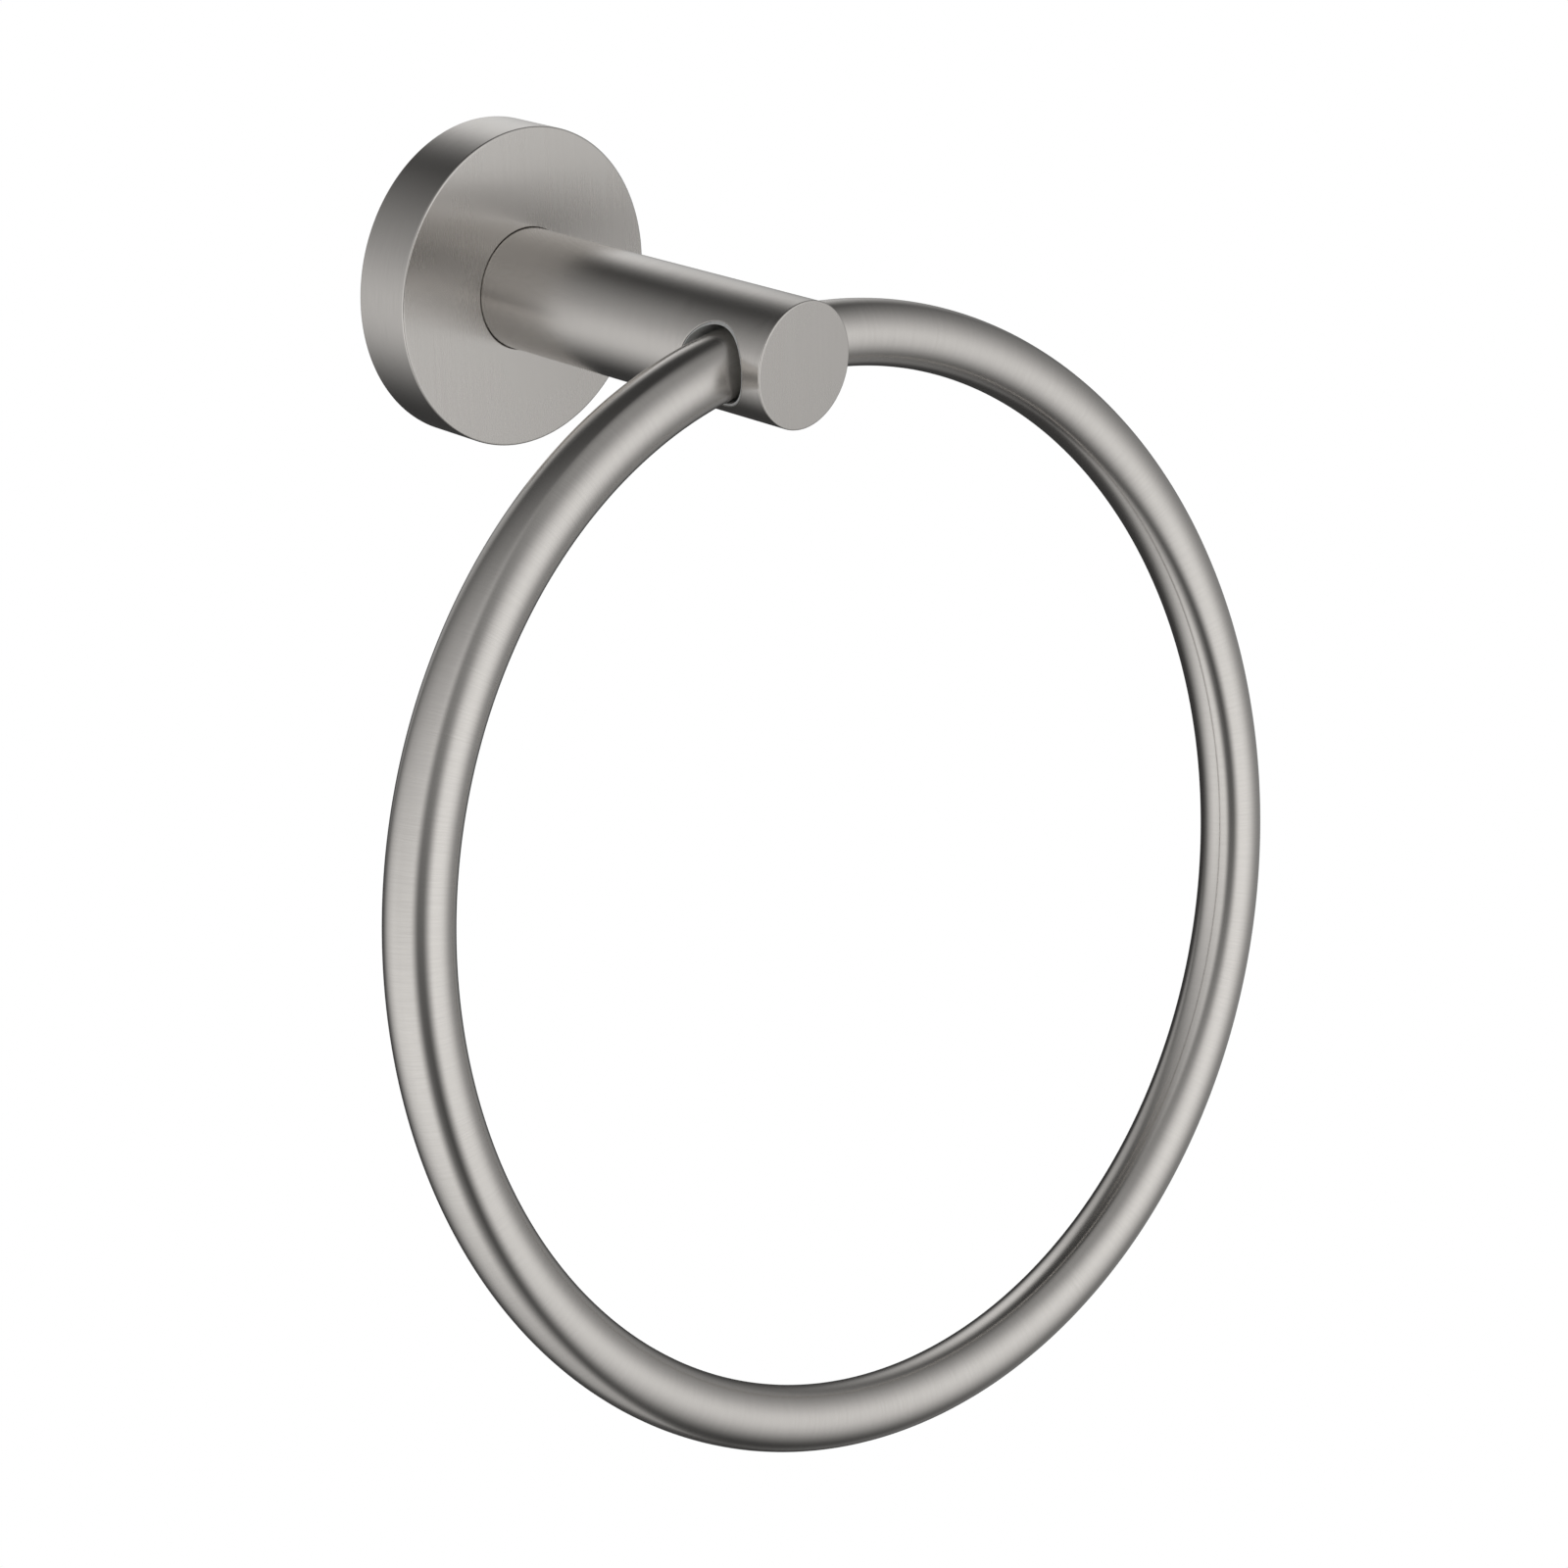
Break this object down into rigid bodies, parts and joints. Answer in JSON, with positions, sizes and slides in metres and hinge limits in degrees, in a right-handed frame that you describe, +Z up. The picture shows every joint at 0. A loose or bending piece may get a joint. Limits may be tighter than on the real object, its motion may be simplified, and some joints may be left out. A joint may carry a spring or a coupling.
{
  "type": "towel ring",
  "caption": "Wall-mounted towel ring: a round rose on the wall, a straight round post and a full ring that hangs through a lined cross hole in the post.",
  "frame": {"origin": "centre of the rose on the wall face, midway between the two wall screw holes", "axes": "+Y into the wall, so the post stands out along -Y; +Z up; X along the cross hole that the ring hangs in"},
  "size_m": [0.1763, 0.1052, 0.1916],
  "materials": {
    "satin_nickel": "fine brushed, satin",
    "liner_plastic": "smooth grey plastic",
    "bracket_steel": "plain turned",
    "screw_steel": "plain"
  },
  "bodies": {
    "wall_mount": {"rose": "satin_nickel", "post": "satin_nickel", "ring_liner": "liner_plastic", "wall_bracket": "bracket_steel", "lock_washer": "screw_steel", "post_screw": "screw_steel", "grub_screw": "screw_steel"},
    "towel_ring": {"ring": "satin_nickel"}
  },
  "joints": [
    {"name": "ring_swing", "type": "hinge", "parent": "wall_mount", "child": "towel_ring", "pos_m": [0, -0.0598, 0], "axis": [1, 0, 0], "range_deg": [-184, 32]}
  ]
}
